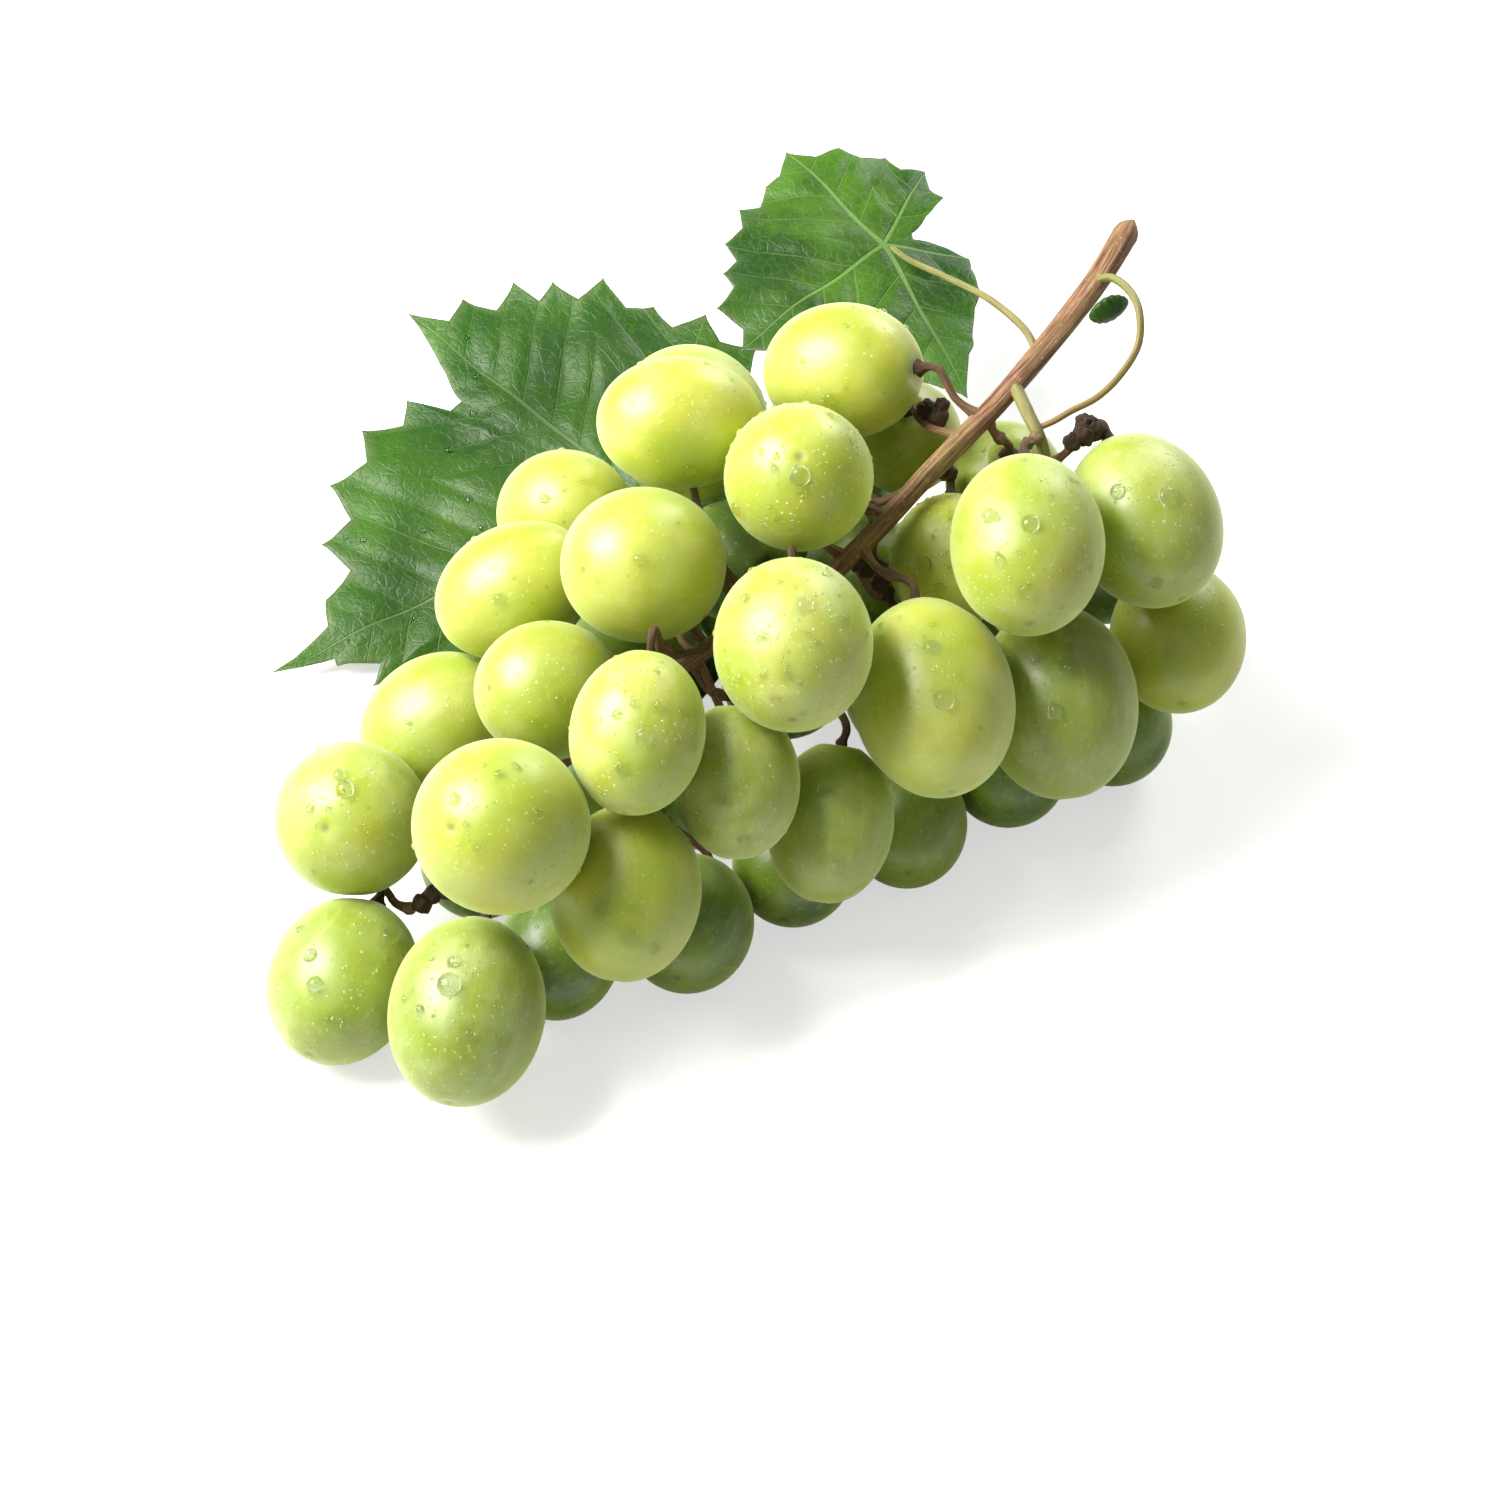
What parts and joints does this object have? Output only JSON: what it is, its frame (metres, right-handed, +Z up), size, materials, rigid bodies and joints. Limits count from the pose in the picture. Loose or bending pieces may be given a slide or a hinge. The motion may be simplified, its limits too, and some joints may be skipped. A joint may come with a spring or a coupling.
{
  "type": "bunch of grapes",
  "caption": "Bunch of oval green table grapes lying on its side, with its woody stem, lobed and toothed vine leaves on thin stalks, and a curling tendril.",
  "frame": {"origin": "middle of the box of the whole bunch, on the surface it lies on", "axes": "+X along the bunch from its tip to the cut end of its stem, +Z up from the surface, +Y away from the near side, towards the leaves"},
  "size_m": [0.1564, 0.1378, 0.0701],
  "materials": {
    "berry_skin": "waxy translucent yellow-green grape skin with a thin bloom",
    "stem_wood": "brown young bark, ridged along its length",
    "leaf_blade": "satin green leaf with paler veins",
    "green_stalk": "smooth green to tan young shoot"
  },
  "bodies": {
    "root": {"berry_01": "berry_skin", "berry_02": "berry_skin", "berry_03": "berry_skin", "berry_04": "berry_skin", "berry_05": "berry_skin", "berry_06": "berry_skin", "berry_07": "berry_skin", "berry_08": "berry_skin", "berry_09": "berry_skin", "berry_10": "berry_skin", "berry_11": "berry_skin", "berry_12": "berry_skin", "berry_13": "berry_skin", "berry_14": "berry_skin", "berry_15": "berry_skin", "berry_16": "berry_skin", "berry_17": "berry_skin", "berry_18": "berry_skin", "berry_19": "berry_skin", "berry_20": "berry_skin", "berry_21": "berry_skin", "berry_22": "berry_skin", "berry_23": "berry_skin", "berry_24": "berry_skin", "berry_25": "berry_skin", "berry_26": "berry_skin", "berry_27": "berry_skin", "berry_28": "berry_skin", "berry_29": "berry_skin", "berry_30": "berry_skin", "berry_31": "berry_skin", "berry_32": "berry_skin", "berry_33": "berry_skin", "berry_34": "berry_skin", "berry_35": "berry_skin", "berry_36": "berry_skin", "berry_37": "berry_skin", "berry_38": "berry_skin", "berry_39": "berry_skin", "berry_40": "berry_skin", "berry_41": "berry_skin", "berry_42": "berry_skin", "berry_43": "berry_skin", "berry_44": "berry_skin", "berry_45": "berry_skin", "berry_46": "berry_skin", "stem": "stem_wood", "leaf_large": "leaf_blade", "leaf_small": "leaf_blade", "leaf_large_stalk": "green_stalk", "leaf_small_stalk": "green_stalk", "tendril": "green_stalk", "leaflet": "green_stalk"}
  },
  "joints": []
}
